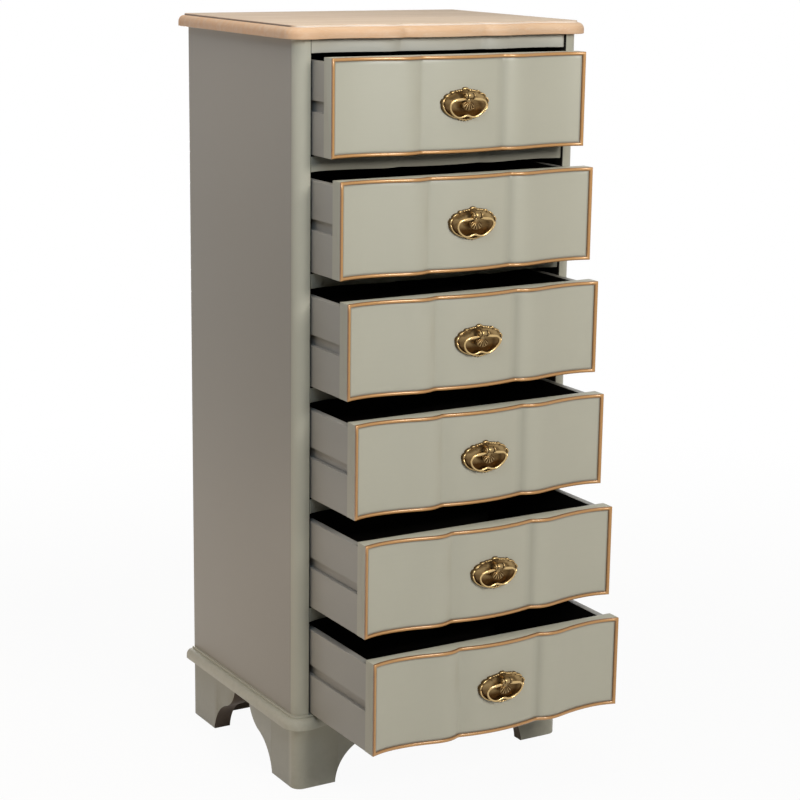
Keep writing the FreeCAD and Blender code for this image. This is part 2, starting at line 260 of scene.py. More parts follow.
def markOf(tree, name):
    # a mark that the mesh carries
    return put(tree, "Attribute", attribute_name=name).outputs["Fac"]


def noise(tree, vector, scale, detail=2.0, roughness=0.5, distortion=0.0):
    # value of a Noise Texture
    return put(tree, "TexNoise", {"Vector": vector, "Scale": scale, "Detail": detail, "Roughness": roughness,
                                  "Distortion": distortion}).outputs["Fac"]


def newGroup(name, inputs, outputs):
    # an empty node group, its input sockets and its output sockets
    group = bpy.data.node_groups.new(name, "ShaderNodeTree")
    for label, kind, value in inputs:
        group.interface.new_socket(label, in_out="INPUT", socket_type="NodeSocket" + kind).default_value = value
    for label, kind in outputs:
        group.interface.new_socket(label, in_out="OUTPUT", socket_type="NodeSocket" + kind)
    return group, group.nodes.new("NodeGroupInput").outputs, group.nodes.new("NodeGroupOutput").inputs


# brushed satin paint: cloudy tone, brush strokes along one axis, orange peel, rubbed edges, and a painted shade where
# the mesh marks it
paintLook = {"cloud": 5.0, "peel": 700.0, "patch": 90.0, "patchRange": (0.42, 0.62), "shadeCover": 0.9,
             "shadeColour": (0.03, 0.026, 0.02, 1), "strokeGloss": 0.10, "cloudGloss": 0.08, "peelDepth": 0.35}
paintSkin, given, out = newGroup(
    "paintSkin",
    [("Tint", "Color", (0.4, 0.4, 0.35, 1)), ("Rubbed", "Color", (0.6, 0.58, 0.5, 1)), ("Mottle", "Float", 0.05),
     ("Streak", "Float", 0.04), ("Rub", "Float", 0.5), ("Gloss", "Float", 0.4), ("Stroke", "Vector", (220, 220, 6))],
    [("Color", "Color"), ("Roughness", "Float"), ("Height", "Float")])
place = put(paintSkin, "TexCoord").outputs["Object"]
cloud = sums(paintSkin, "SUBTRACT", noise(paintSkin, place, paintLook["cloud"], 3.0), 0.5)
strokePlace = put(paintSkin, "Mapping", {"Vector": place, "Scale": given["Stroke"]}).outputs[0]
stroke = sums(paintSkin, "SUBTRACT", noise(paintSkin, strokePlace, 1.0, 3.0, 0.6), 0.5)
peel = sums(paintSkin, "SUBTRACT", noise(paintSkin, place, paintLook["peel"], 1.0), 0.5)
tone = sums(paintSkin, "MULTIPLY_ADD", cloud, given["Mottle"], 1.0)
tone = sums(paintSkin, "MULTIPLY_ADD", stroke, given["Streak"], tone)
tinted = put(paintSkin, "VectorMath", {0: given["Tint"], "Scale": tone}, operation="SCALE").outputs[0]
patchy = ranged(paintSkin, noise(paintSkin, place, paintLook["patch"], 4.0, 0.7), *paintLook["patchRange"])
worn = sums(paintSkin, "MULTIPLY", markOf(paintSkin, "edge"), patchy)
rubbedAndGlint = blendOf(paintSkin, sums(paintSkin, "MULTIPLY", worn, given["Rub"], clamp=True), tinted, given["Rubbed"])
# painted shade: the mesh's mark blends in a dark colour in quirks, creases and on the feet
soil = sums(paintSkin, "MULTIPLY", markOf(paintSkin, "soil"), paintLook["shadeCover"], clamp=True)
paintSkin.links.new(blendOf(paintSkin, soil, rubbedAndGlint, paintLook["shadeColour"]), out["Color"])
shine = sums(paintSkin, "MULTIPLY_ADD", stroke, paintLook["strokeGloss"], given["Gloss"])
paintSkin.links.new(sums(paintSkin, "MULTIPLY_ADD", cloud, paintLook["cloudGloss"], shine), out["Roughness"])
paintSkin.links.new(sums(paintSkin, "MULTIPLY_ADD", peel, paintLook["peelDepth"], stroke), out["Height"])

# limed wood: long fibres, staves of different tone, pores filled with white; a quirk is painted dark, a painted
# shade, where its mark is above 0, and full of lime, partly a painted highlight, where it is below
woodLook = {"staveJump": 3.0, "staveTone": 0.35, "poreScale": (26, 900, 900), "poreRange": (0.50, 0.68),
            "figureRange": (0.32, 0.68), "edgeShare": 0.5, "limeAndHighlightCover": -2.0, "quirkShadeCover": 0.85,
            "quirkShadeColour": (0.055, 0.045, 0.045, 1), "poreGloss": 0.12, "gloss": 0.46, "poreDepth": -0.6}
woodGrain, given, out = newGroup(
    "woodGrain",
    [("Light", "Color", (0.6, 0.45, 0.3, 1)), ("Dark", "Color", (0.4, 0.28, 0.18, 1)),
     ("Lime", "Color", (0.8, 0.75, 0.7, 1)), ("Edge", "Color", (0.7, 0.45, 0.25, 1)), ("Liming", "Float", 0.4),
     ("Fibre", "Vector", (2.2, 55, 55)), ("Stave", "Float", 11.0)],
    [("Color", "Color"), ("Roughness", "Float"), ("Height", "Float")])
place = put(woodGrain, "TexCoord").outputs["Object"]
axes = put(woodGrain, "SeparateXYZ", {0: place}).outputs
stave = sums(woodGrain, "FLOOR", sums(woodGrain, "MULTIPLY", axes[1], given["Stave"]))
staveTone = put(woodGrain, "TexWhiteNoise", {"W": stave}, noise_dimensions="1D").outputs["Value"]
jump = put(woodGrain, "CombineXYZ", {"X": sums(woodGrain, "MULTIPLY", staveTone, woodLook["staveJump"]), "Y": 0.0,
                                     "Z": staveTone}).outputs[0]
moved = put(woodGrain, "VectorMath", {0: place, 1: jump}, operation="ADD").outputs[0]
fibrePlace = put(woodGrain, "Mapping", {"Vector": moved, "Scale": given["Fibre"]}).outputs[0]
figure = noise(woodGrain, fibrePlace, 1.0, 5.0, 0.6, 0.7)
porePlace = put(woodGrain, "Mapping", {"Vector": moved, "Scale": woodLook["poreScale"]}).outputs[0]
pores = ranged(woodGrain, noise(woodGrain, porePlace, 1.0, 2.0, 0.6), *woodLook["poreRange"])
offTone = sums(woodGrain, "SUBTRACT", staveTone, 0.5)
mixing = ranged(woodGrain, figure, *woodLook["figureRange"])
mixing = sums(woodGrain, "MULTIPLY_ADD", offTone, woodLook["staveTone"], mixing, clamp=True)
fibres = blendOf(woodGrain, mixing, given["Light"], given["Dark"])
limed = blendOf(woodGrain, sums(woodGrain, "MULTIPLY", pores, given["Liming"]), fibres, given["Lime"])
edgeTone = sums(woodGrain, "MULTIPLY_ADD", mixing, woodLook["edgeShare"], 1.0 - woodLook["edgeShare"])
edgeMix = sums(woodGrain, "MULTIPLY", markOf(woodGrain, "edge"), edgeTone, clamp=True)
limed = blendOf(woodGrain, edgeMix, limed, given["Edge"])
quirk = markOf(woodGrain, "quirk")
# in the quirk: lime that is partly a painted highlight along the front, a painted shade along the sides
limedAndLit = sums(woodGrain, "MULTIPLY", quirk, woodLook["limeAndHighlightCover"], clamp=True)
quirkShade = sums(woodGrain, "MULTIPLY", quirk, woodLook["quirkShadeCover"], clamp=True)
limed = blendOf(woodGrain, limedAndLit, limed, given["Lime"])
woodGrain.links.new(blendOf(woodGrain, quirkShade, limed, woodLook["quirkShadeColour"]), out["Color"])
shine = sums(woodGrain, "MULTIPLY_ADD", pores, woodLook["poreGloss"], woodLook["gloss"])
woodGrain.links.new(shine, out["Roughness"])
woodGrain.links.new(sums(woodGrain, "MULTIPLY_ADD", pores, woodLook["poreDepth"], figure), out["Height"])

# metal leaf or cast metal gone dark in its hollows and rubbed bright on its high places; on the handle's plate and
# bail the mark also carries a painted reflection and highlight
patinaLook = {"soilGloss": 0.12}
patina, given, out = newGroup(
    "patina",
    [("Bright", "Color", (0.8, 0.6, 0.3, 1)), ("Dark", "Color", (0.08, 0.05, 0.02, 1)), ("Depth", "Float", 1.0),
     ("Speckle", "Float", 0.3), ("Grain", "Float", 300.0), ("Polish", "Float", 0.25)],
    [("Color", "Color"), ("Roughness", "Float"), ("Height", "Float")])
place = put(patina, "TexCoord").outputs["Object"]
speck = noise(patina, place, given["Grain"], 4.0, 0.65)
offSpeck = sums(patina, "SUBTRACT", speck, 0.5)
soil = sums(patina, "MULTIPLY_ADD", offSpeck, given["Speckle"], markOf(patina, "hollow"))
soil = sums(patina, "MULTIPLY", soil, given["Depth"], clamp=True)
patina.links.new(blendOf(patina, soil, given["Bright"], given["Dark"]), out["Color"])
patina.links.new(sums(patina, "MULTIPLY_ADD", soil, patinaLook["soilGloss"], given["Polish"]), out["Roughness"])
patina.links.new(speck, out["Height"])


def finish(name, group, values, bump, bumpReach, shading):
    # one Principled surface fed by a group, with the fixed values set on the shader itself
    material = bpy.data.materials.new(name)
    material.use_nodes = True
    tree = material.node_tree
    surface = tree.nodes["Principled BSDF"]
    skin = tree.nodes.new("ShaderNodeGroup")
    skin.node_tree = group
    for key, value in values.items():
        skin.inputs[key].default_value = value
    for key, value in shading.items():
        surface.inputs[key].default_value = value
    tree.links.new(skin.outputs["Color"], surface.inputs["Base Color"])
    tree.links.new(skin.outputs["Roughness"], surface.inputs["Roughness"])
    relief = put(tree, "Bump", {"Height": skin.outputs["Height"], "Strength": bump, "Distance": bumpReach})
    tree.links.new(relief.outputs["Normal"], surface.inputs["Normal"])
    return material


satinPaint = {
    "Tint": rgb(177, 175, 160), "Rubbed": rgb(206, 203, 190), "Mottle": 0.045, "Streak": 0.03, "Rub": 0.6,
    "Gloss": 0.40, "Stroke": (240.0, 240.0, 7.0)}
strokesAlongX, strokesAlongY = (8.0, 240.0, 260.0), (260.0, 8.0, 240.0)
carcasePaint = finish("carcasePaint", paintSkin, satinPaint, 0.12, 0.0004, {"Specular IOR Level": 0.25})
frontPaint = finish("frontPaint", paintSkin, {**satinPaint, "Stroke": strokesAlongX, "Gloss": 0.36},
                    0.10, 0.0004, {"Specular IOR Level": 0.4})
# the top rail's paint: the same paint made lighter, a painted light under the top's overhang
topRailLitPaint = finish("topRailLitPaint", paintSkin, {
    **satinPaint, "Tint": rgb(189, 187, 175), "Streak": 0.08, "Stroke": strokesAlongX},
    0.12, 0.0004, {"Specular IOR Level": 0.4})
# the side panels' paint: the same paint made darker, a painted shade on faces that look sideways
panelShadedPaint = finish("panelShadedPaint", paintSkin, {**satinPaint, "Tint": rgb(158, 153, 143)},
                    0.12, 0.0004, {"Specular IOR Level": 0.25})
# the drawer sides' paint: the same paint made darker, a painted shade
boxShadedPaint = finish("boxShadedPaint", paintSkin, {**satinPaint, "Tint": rgb(158, 155, 147), "Stroke": strokesAlongY},
                  0.12, 0.0004, {"Specular IOR Level": 0.25})
# black inside the carcase and the drawers; on the stiles' inner arris it is a painted shade
blackLiningAndShade = finish("blackLiningAndShade", paintSkin, {
    "Tint": rgb(32, 30, 27), "Rubbed": rgb(48, 46, 42), "Mottle": 0.5, "Streak": 0.4, "Rub": 0.2, "Gloss": 0.75,
    "Stroke": (12.0, 200.0, 240.0)}, 0.15, 0.0003, {"Specular IOR Level": 0.12})
# inner and cut faces of the feet: dark brown stain, partly a painted shade where they stand in shadow
footStainAndShade = finish("footStainAndShade", paintSkin, {
    "Tint": rgb(112, 99, 88), "Rubbed": rgb(140, 128, 114), "Mottle": 0.3, "Streak": 0.2, "Rub": 0.2, "Gloss": 0.7,
    "Stroke": (60.0, 60.0, 60.0)}, 0.15, 0.0003, {"Specular IOR Level": 0.15})
backPaint = finish("backPaint", paintSkin, {
    "Tint": rgb(150, 146, 134), "Rubbed": rgb(176, 170, 156), "Mottle": 0.16, "Streak": 0.12, "Rub": 0.4,
    "Gloss": 0.6, "Stroke": (200.0, 200.0, 9.0)}, 0.2, 0.0004, {"Specular IOR Level": 0.25})
limedWood = finish("limedWood", woodGrain, {
    "Light": rgb(214, 191, 166), "Dark": rgb(192, 165, 138), "Lime": rgb(232, 222, 212), "Edge": rgb(216, 174, 136),
    "Liming": 0.45, "Fibre": (2.4, 62.0, 62.0), "Stave": 11.0}, 0.25, 0.0004, {"Specular IOR Level": 0.25})
runnerWood = finish("runnerWood", woodGrain, {
    "Light": rgb(178, 140, 96), "Dark": rgb(136, 100, 66), "Lime": rgb(120, 88, 58), "Edge": rgb(150, 112, 74),
    "Liming": 0.3, "Fibre": (60.0, 3.0, 60.0), "Stave": 3.0}, 0.3, 0.0004, {"Specular IOR Level": 0.3})
giltLeaf = finish("giltLeaf", patina, {
    "Bright": rgb(183, 133, 70), "Dark": rgb(98, 60, 22), "Depth": 1.0, "Speckle": 0.45, "Grain": 420.0,
    "Polish": 0.30}, 0.2, 0.0003,
    {"Metallic": 0.2, "Specular IOR Level": 0.6, "Coat Weight": 0.5, "Coat Roughness": 0.16})
antiqueBrass = finish("antiqueBrass", patina, {
    "Bright": rgb(202, 173, 122), "Dark": rgb(62, 39, 14), "Depth": 1.0, "Speckle": 0.25, "Grain": 520.0,
    "Polish": 0.22}, 0.25, 0.0003, {"Metallic": 1.0})
zincSteel = finish("zincSteel", patina, {
    "Bright": rgb(196, 196, 192), "Dark": rgb(110, 108, 102), "Depth": 1.0, "Speckle": 0.6, "Grain": 600.0,
    "Polish": 0.3}, 0.2, 0.0002, {"Metallic": 1.0})
print("materials made")


# Carcase

chest = {
    "halfWidth": 250.0, "front": -186.0, "back": 186.0, "footHeight": 104.0, "low": 124.0, "high": 1171.0,
    "stileWidth": 25.5, "stileDepth": 16.5, "stileMeets": 7.0, "stileArris": 2.2, "panel": 16.0, "seam": 0.7,
    "arris": 1.3, "sharp": 0.1, "liningAndShadeFrom": -0.25}


def boardPlan(half, face, rear, radius, rearRadius=1.5):
    # plan outline for each value of half, face and radius: serpentine front, round front corners, nearly square back
    half, face, radius = (np.asarray(v, float).reshape(-1, 1) for v in (half, face, radius))
    frontX = np.repeat(serpentineX[None], len(half), 0)
    frontY = face - serpentineOut(serpentineX)
    turn = np.linspace(-np.pi / 2, 0, 22)
    rearTurn = np.linspace(0, np.pi / 2, 5)
    x = np.hstack([frontX, half - radius + radius * np.cos(turn), half - rearRadius + rearRadius * np.cos(rearTurn)])
    y = np.hstack([frontY, face + radius + radius * np.sin(turn),
                   rear - rearRadius + rearRadius * np.sin(rearTurn) + 0 * half])
    return np.stack([np.hstack([x, -x[:, :0:-1]]), np.hstack([y, y[:, :0:-1]])], -1)


def mouldedBoard(z, heights, insets, half, face, rear, radius, **marks):
    # the plan outline carried up the edge profile: each level is the outline drawn in by its inset
    heights, insets = np.asarray(heights, float), np.asarray(insets, float)
    plan = boardPlan(half - insets, face + insets, rear, radius - insets)
    level = np.repeat((z + heights)[:, None, None], plan.shape[1], 1)
    return shell(np.concatenate([plan, level], 2), **marks)


moulding = {
    "thickness": 20.0, "arris": 1.2, "roundLow": 7.0, "belowRound": 0.4, "round": 10.0, "riser": 11.0,
    "cornerRadius": 30.0, "quirkEase": 0.35, "levelsAbove": 7,  # levels of the profile from the quirk up
    "quirkMarks": (0.9, 1.0, 0.7, 0.3), "quirkFront": -0.5, "quirkSide": 1.5}
topEdge = {"overhang": 14.0, "backOverhang": 8.0, "rub": 1.0, "quirkDepth": 0.6}
baseEdge = {"overhang": 15.0, "backOverhang": 0.0, "rub": 0.25, "quirkDepth": 0.1}


def mouldingProfile(quirkDepth):
    # from below: small arris, upright, quarter round, quirk, riser and eased top edge, as heights and insets
    m = moulding
    ease = np.linspace(0, np.pi / 2, 5)
    quarter = np.linspace(0, np.pi / 2, 17)
    heights = np.concatenate([
        m["arris"] * (1 - np.cos(ease)), [m["roundLow"] - m["belowRound"]],
        m["roundLow"] + m["round"] * np.sin(quarter), [m["roundLow"] + m["round"] - quirkDepth] * 2,
        m["thickness"] - m["arris"] * (1 - np.sin(ease))])
    insets = np.concatenate([
        m["arris"] * (1 - np.sin(ease)), [0.0], m["round"] * (1 - np.cos(quarter)),
        [m["round"] + m["quirkEase"], m["riser"]], m["riser"] + m["arris"] * (1 - np.cos(ease))])
    quirk = np.zeros(len(heights))
    quirk[-m["levelsAbove"]:len(m["quirkMarks"]) - m["levelsAbove"]] = m["quirkMarks"]
    return heights, insets, quirk


def carcaseBoard(name, z, board, node, materials):
    # marks: edge is the rub, up to the quirk; quirk is above 0 in it along the sides, a painted shade, and below 0
    # along the front, lime with a painted highlight
    m = moulding
    heights, insets, quirk = mouldingProfile(board["quirkDepth"])
    half, face = chest["halfWidth"] + board["overhang"], chest["front"] - board["overhang"]
    rear = chest["back"] + board["backOverhang"]
    plan = boardPlan([half], [face], rear, [m["cornerRadius"]])[0]
    sideways = np.clip((plan[:, 1] - face) / m["cornerRadius"], 0, 1)
    edge = board["rub"] * (np.arange(len(heights)) < len(heights) - m["levelsAbove"])
    part = mouldedBoard(z, heights, insets, half, face, rear, m["cornerRadius"], edge=edge[:, None],
                        quirk=quirk[:, None] * (m["quirkSide"] * sideways ** 2 + m["quirkFront"]))
    addPiece(name, [part], "carcase", [node], materials)


carcaseBoard("topBoard", chest["high"], topEdge, "top_board", [limedWood])
carcaseBoard("baseBoard", chest["footHeight"], baseEdge, "base_board", [carcasePaint])

# side panels and front stiles: plan outlines with eased edges, carried straight up
w, f, b = chest["halfWidth"], chest["front"], chest["back"]
panelFront, panelInside = f + chest["stileDepth"], chest["panel"] - w
panelPlan = roundedLoop([(-w, panelFront), (panelInside, panelFront), (panelInside, b), (-w, b)],
                        [chest["seam"], chest["sharp"], chest["sharp"], chest["arris"]])
# the stile's round starts at the panel, at a slight angle to it, and ends facing forwards
meets = np.radians(chest["stileMeets"])
turn = np.linspace(meets, np.pi / 2, 22)
radius = chest["stileDepth"] / (1 - np.sin(meets))
stileRound = np.stack([radius * (np.cos(meets) - np.cos(turn)), radius * (1 - np.sin(turn))], 1)
stileRound[0, 0] += chest["seam"] / 2
turn = np.linspace(-np.pi / 2, 0, 9)
stileEnd = chest["stileArris"] * np.stack([np.cos(turn) - 1, np.sin(turn) + 1], 1) + [chest["stileWidth"], 0]
stilePlan = np.vstack([stileRound, stileEnd, [(chest["stileWidth"], chest["stileDepth"])]]) + [-w, f]
leftPanel = extruded(panelPlan, 2, chest["low"], chest["high"])
leftStile = extruded(stilePlan, 2, chest["low"], chest["high"])


def facesInwards(centres, normals):
    # towards the middle of the chest: lined black inside; on the stiles the black reaches round most of the inner
    # arris, a painted shade for the dark gap beside the drawers
    return normals[:, 0] * np.sign(centres[:, 0]) < chest["liningAndShadeFrom"]


for name, node, parts, paint in (
        ("leftSidePanel", "left_side_panel", [leftPanel], panelShadedPaint),
        ("rightSidePanel", "right_side_panel", [mirrored(leftPanel)], panelShadedPaint),
        ("frontStiles", "front_stiles", [leftStile, mirrored(leftStile)], carcasePaint)):
    addPiece(name, parts, "carcase", [node], [paint, blackLiningAndShade], inside=facesInwards)

rail = {"setback": 3.0, "depth": 60.0, "divider": 23.0, "top": 21.0, "gap": 2.6, "arris": 1.2, "endRadius": 2.0,
        "paintedDepth": 12.0, "level": 0.95}
drawerBox = {
    "half": 223.0, "setback": 0.5, "frontThickness": 24.0, "side": 12.0, "sideHeight": 138.0, "sideLength": 325.0,
    "grooveTop": 57.5, "groove": 17.0, "grooveDepth": 6.0, "bottomRaise": 12.0, "bottom": 5.0, "tongue": 5.0,
    "lowEase": 0.8, "grooveEase": 0.6, "topEase": 1.2, "sharp": 0.1, "liningPast": 0.3, "upright": 0.8, "end": 0.9}


def frontRail(z, height):
    # serpentine rail between the stiles, its front edges eased
    ease = np.linspace(0, np.pi / 2, 4)
    heights = np.concatenate([rail["arris"] * (1 - np.cos(ease)), height - rail["arris"] * (1 - np.sin(ease))])
    insets = np.concatenate([rail["arris"] * (1 - np.sin(ease)), rail["arris"] * (1 - np.cos(ease))])
    face = chest["front"] + rail["setback"]
    return mouldedBoard(z, heights, insets, w - chest["stileWidth"], face, face + rail["depth"], rail["endRadius"],
                        edge=np.minimum(insets, 1)[:, None])


def behindFace(centres, normals):
    # the rail's level faces, and what lies deeper than its painted front
    deep = centres[:, 1] > chest["front"] + rail["setback"] + rail["paintedDepth"]
    return deep | (np.abs(normals[:, 2]) > rail["level"])


drawers = []  # bottom, top and opening of each drawer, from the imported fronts
closedFace = chest["front"] + drawerBox["setback"]
closedRear = closedFace + drawerBox["frontThickness"]
for number in range(1, 7):
    lowest, highest = (np.array(corner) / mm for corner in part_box("drawer_%d_front" % number))
    drawers.append((lowest[2], highest[2], closedRear - highest[1]))
addPiece("topRail", [frontRail(chest["high"] - rail["top"], rail["top"])], "carcase", ["top_rail"],
         [topRailLitPaint, blackLiningAndShade], inside=behindFace)
dividers = [frontRail(bottom - rail["gap"] - rail["divider"], rail["divider"]) for bottom, _, _ in drawers[:-1]]
addPiece("dividerRails", dividers, "carcase", ["divider_rails"], [carcasePaint, blackLiningAndShade],
         inside=behindFace)

foot = {
    "thickness": 20.5, "rearThickness": 29.0, "arris": 1.0, "cove": (0.14, 29.0), "knee": (0.60, 57.0),
    "shoulder": (0.85, 72.0), "frontSide": (80.0, 84.0), "frontFace": (72.0, 58.0), "rearSide": (78.0, 80.0),
    "rearFace": (95.0, 40.0), "frontCorner": 16.0, "rearCorner": 2.0, "innerCorner": 0.5, "topGap": 0.05,
    "flatTo": 2.0, "arcSteps": 18, "outer": 0.4, "rub": (0.0, 0.3, 0.3, 0.3, 0.0, 0.0), "sideShade": 0.3,
    "faceShade": 0.08}


def ogee(length, reach):
    # lower edge of one leg as (distance from the corner, height): a cove, then a shoulder
    def at(share, height):
        return length + share * reach, height
    cove = arcThrough((length, 0.0), at(*foot["cove"]), at(*foot["knee"]), foot["arcSteps"])
    top = at(1.0, chest["footHeight"] - foot["topGap"])
    shoulder = arcThrough(at(*foot["knee"]), at(*foot["shoulder"]), top, foot["arcSteps"])
    return np.vstack([cove, shoulder[1:]])


def bracketFoot(faceLeg, sideLeg, corner, faceThick, sideThick):
    # a section carried round the plan from the side leg's end to the face leg's end,
    # its lower edge lifted along the ogee; u runs along the face, v along the side, from the corner
    def leg(length, reach):
        flat = np.linspace(corner, length - foot["flatTo"], 8)
        return np.vstack([np.stack([flat, 0 * flat], 1), ogee(length, reach)])
    face, side = leg(*faceLeg), leg(*sideLeg)[::-1]
    turn = np.linspace(np.pi, 1.5 * np.pi, foot["arcSteps"])[1:-1]
    small = foot["innerCorner"]
    outerU = np.concatenate([0 * side[:, 0], corner + corner * np.cos(turn), face[:, 0]])
    outerV = np.concatenate([side[:, 0], corner + corner * np.sin(turn), 0 * face[:, 0]])
    innerU = np.concatenate([0 * side[:, 0] + sideThick, sideThick + small + small * np.cos(turn),
                             np.maximum(face[:, 0], sideThick + small)])
    innerV = np.concatenate([np.maximum(side[:, 0], faceThick + small), faceThick + small + small * np.sin(turn),
                             0 * face[:, 0] + faceThick])
    low = np.concatenate([side[:, 1], 0 * turn, face[:, 1]])[:, None]
    # the section's corners: share of the thickness, and height above the lower edge, 1e6 for the foot's top
    share = np.array([0, 0, 0.015, 0.05, 1, 1])
    lift = np.array([1e6, foot["arris"], 0.3, 0, 0, 1e6])
    u = outerU[:, None] + (innerU - outerU)[:, None] * share
    v = outerV[:, None] + (innerV - outerV)[:, None] * share
    return np.stack([u, v, np.minimum(low + lift, chest["footHeight"])], -1)


def footInside(centres, normals):
    # all but the outer faces: outwards is away from the middle, sideways or to the front or back
    away = np.maximum(normals[:, 0] * np.sign(centres[:, 0]), normals[:, 1] * np.sign(centres[:, 1]))
    return away < foot["outer"]


frontFoot = bracketFoot(foot["frontFace"], foot["frontSide"], foot["frontCorner"], foot["thickness"],
                        foot["thickness"])
rearFoot = bracketFoot(foot["rearFace"], foot["rearSide"], foot["rearCorner"], foot["thickness"],
                       foot["rearThickness"])
for name, node, points in (("frontFeet", "front_feet", frontFoot + [-w, f, 0]),
                           ("rearFeet", "rear_feet", rearFoot * [1, -1, 1] + [-w, b, 0])):
    # painted shade on the feet: darker on their sides and a little on their front faces, where the drawers and floor
    # shade them
    onSide = points[:, :1, 1] - f > foot["frontCorner"]
    onFace = points[:, :1, 0] + w > foot["frontCorner"]
    soil = np.where(onSide, foot["sideShade"], foot["faceShade"] * onFace)
    left = shell(points, edge=np.array(foot["rub"]), soil=soil)
    addPiece(name, [left, mirrored(left)], "carcase", [node], [carcasePaint, footStainAndShade], crisp=50,
             inside=footInside)
print("carcase made")


# Drawers

bead = {"width": 5.5, "proud": 2.5, "under": 1.3, "fullness": 0.8, "soil": 0.9, "rubPower": 2.2, "wornCorner": 7.0,
        "wornFrom": 1.2, "wornRub": 0.4}
# the front's sunk border, by distance from the edge: grid rows, depth under the bead and in its quirk, and a painted
# shade in the quirk beside the bead
border = {"rows": (0.0, 0.3, 0.8, 3.0, 5.4, 6.2, 7.2, 8.4), "faceFrom": 12.0, "faceRows": 9,
          "at": (0.0, 0.3, 0.8, 6.2, 8.4), "sunk": (1.2, 0.8, 0.5, 0.5, 0.0), "soil": (0.0, 0.5, 0.4, 0.45, 0.0)}
# painted shade in the creases, by x
creaseShade = {"at": (-79.0, -72.0, -66.0, -35.0, 58.0, 68.0, 73.0, 77.0, 82.0),
               "soil": (0.0, 0.06, 0.05, 0.0, 0.0, 0.11, 0.2, 0.1, 0.0)}


def drawerFront(low, high, face):
    # serpentine slab: at each x one closed section, its face sunk near the edges by distance from the nearest edge
    rim, inset = np.array(border["rows"]), border["faceFrom"]
    half = drawerBox["half"]
    x = np.unique(np.concatenate([bothX, half - rim, rim - half]))
    z = np.concatenate([low + rim, np.linspace(low + inset, high - inset, border["faceRows"]), (high - rim)[::-1]])
    near = np.minimum(half - np.abs(x)[:, None], np.minimum(z - low, high - z))
    y = face - serpentineOut(x)[:, None] + np.interp(near, border["at"], border["sunk"])
    rear = np.full((len(x), 2), face + drawerBox["frontThickness"])
    heights = np.concatenate([z, [high, low]])
    points = np.stack([np.repeat(x[:, None], len(heights), 1), np.concatenate([y, rear], 1),
                       np.repeat(heights[None], len(x), 0)], -1)
    # painted shade along the creases and in the quirk beside the bead
    creased = np.interp(x, creaseShade["at"], creaseShade["soil"])[:, None]
    soil = np.interp(near, border["at"], border["soil"]) + creased
    return shell(points, soil=np.concatenate([soil, 0 * rear], 1))


def giltBead(low, high, face):
    # half-round strip round the front: each point of its profile runs round the edge's rectangle, drawn in by its
    # own distance, so the corners are mitred, and stands on the serpentine face
    swing = np.linspace(0, np.pi, 13)
    inset = np.concatenate([bead["width"] / 2 * (1 - np.cos(swing)), [bead["width"], 0.0]])
    proud = np.concatenate([bead["proud"] * np.sin(swing) ** bead["fullness"], [-bead["under"]] * 2])
    half = drawerBox["half"]
    upright = np.linspace(low, high, 12)[1:-1]
    x = np.concatenate([bothX, np.full(len(upright), half), bothX[::-1], np.full(len(upright), -half)])[:, None]
    z = np.concatenate([np.full(len(bothX), low), upright, np.full(len(bothX), high), upright[::-1]])[:, None]
    px = np.clip(x, inset - half, half - inset)
    pz = np.clip(z, low + inset, high - inset)
    fromCorner = np.hypot(half - np.abs(px), np.minimum(pz - low, high - pz))
    points = np.stack([px, face - serpentineOut(px) - proud, pz], -1)
    hollow = bead["soil"] - bead["soil"] * (np.maximum(proud, 0) / bead["proud"]) ** bead["rubPower"] + 0 * px
    worn = np.clip(bead["wornFrom"] - fromCorner / bead["wornCorner"], 0, 1)
    return shell(points, loopU=True, hollow=np.clip(hollow - bead["wornRub"] * worn, 0, 1), edge=worn)


def drawerSides(low, rear, front):
    # one side's section, with the runner's groove outside and the bottom's groove inside, carried back from the front
    d = drawerBox
    outer, inner, top = -d["half"], -d["half"] + d["side"], low + d["sideHeight"]
    grooveHigh = top - d["grooveTop"]
    grooveLow, cut, slit = grooveHigh - d["groove"], outer + d["grooveDepth"], inner - d["tongue"]
    slitLow, slitHigh = low + d["bottomRaise"], low + d["bottomRaise"] + d["bottom"]
    corners = [(outer, low), (outer, grooveLow), (cut, grooveLow), (cut, grooveHigh), (outer, grooveHigh),
               (outer, top), (inner, top), (inner, slitHigh), (slit, slitHigh), (slit, slitLow), (inner, slitLow),
               (inner, low)]
    radii = [d["lowEase"], d["grooveEase"], d["sharp"], d["sharp"], d["grooveEase"], d["topEase"], d["topEase"],
             *[d["sharp"]] * 4, d["lowEase"]]
    left = extruded(roundedLoop(corners, radii, 4), 1, front, rear)
    return [left, mirrored(left)]


def insideDrawer(centres, normals):
    # upright faces on the drawer's inner side
    inner = drawerBox["half"] - drawerBox["side"] + drawerBox["liningPast"]
    return (np.abs(centres[:, 0]) < inner) & (np.abs(normals[:, 2]) < drawerBox["upright"])


def frontSides(centres, normals):
    # lined behind, and at its two ends painted like the carcase
    atEnd = np.abs(normals[:, 0]) > drawerBox["end"]
    return np.where(normals[:, 1] > drawerBox["upright"], 1, np.where(atEnd, 2, 0))


# Handles

